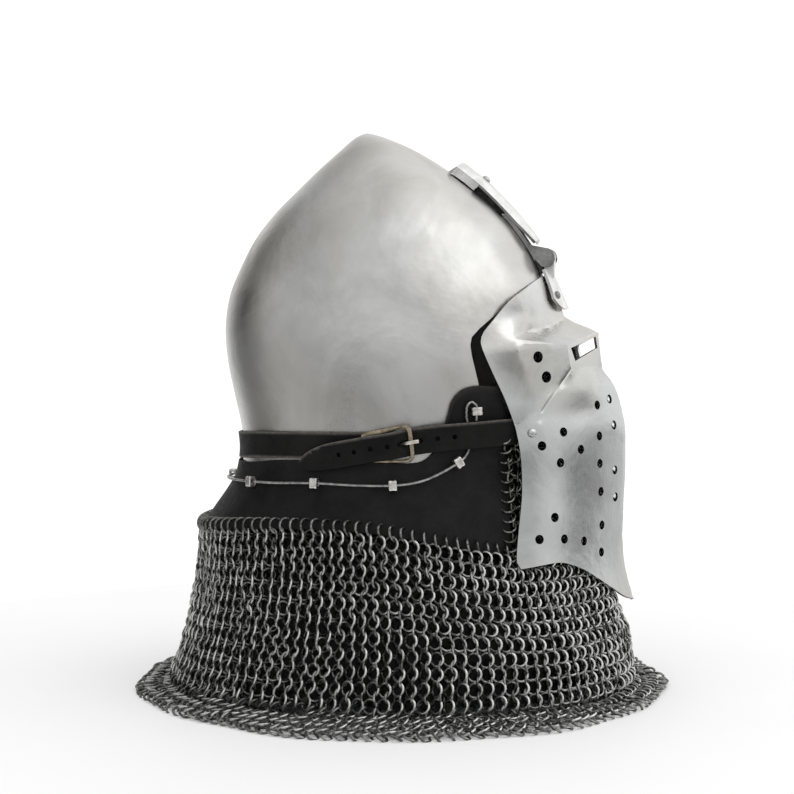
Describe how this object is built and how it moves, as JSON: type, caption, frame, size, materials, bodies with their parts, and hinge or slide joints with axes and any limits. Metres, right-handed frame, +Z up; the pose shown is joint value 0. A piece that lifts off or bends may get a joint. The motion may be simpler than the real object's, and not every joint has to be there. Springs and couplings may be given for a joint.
{
  "type": "bascinet",
  "caption": "Pointed steel helmet with a hinged, pierced face guard, a leather band held by vervelles and wire, a buckled strap and a mail curtain with a round brim.",
  "frame": {"origin": "on the standing surface, at the middle of the mail curtain's round brim", "axes": "+X towards the wearer's front, +Y towards the wearer's left, +Z up"},
  "size_m": [0.41, 0.4078, 0.4315],
  "materials": {
    "polished_steel": "satin polish",
    "wire_steel": "drawn wire",
    "black_leather": "dyed, matt",
    "aged_brass": "aged, dull",
    "mail": "oiled rings"
  },
  "bodies": {
    "helmet": {"skull": "polished_steel", "hinge_bracket": "polished_steel", "bracket_rivet": "polished_steel", "hinge_strap": "polished_steel", "hinge_pin": "polished_steel", "aventail_leather": "black_leather", "retaining_wire": "wire_steel", "vervelle_back": "aged_brass", "vervelle_right_1": "aged_brass", "vervelle_right_2": "aged_brass", "vervelle_right_3": "aged_brass", "vervelle_right_4": "aged_brass", "vervelle_right_5": "aged_brass", "vervelle_left_1": "aged_brass", "vervelle_left_2": "aged_brass", "vervelle_left_3": "aged_brass", "vervelle_left_4": "aged_brass", "vervelle_left_5": "aged_brass", "strap_long": "black_leather", "strap_billet": "black_leather", "buckle_frame": "aged_brass", "buckle_tongue": "polished_steel", "mail_aventail": "mail"},
    "face_guard": {"visor": "polished_steel", "hinge_leaf": "polished_steel", "leaf_rivet_right": "polished_steel", "leaf_rivet_left": "polished_steel", "visor_rivet_right": "polished_steel", "visor_rivet_left": "polished_steel"}
  },
  "joints": [
    {"name": "visor_hinge", "type": "hinge", "parent": "helmet", "child": "face_guard", "pos_m": [0.1138, 0, 0.3335], "axis": [0, -1, 0], "range_deg": [0, 110]}
  ]
}
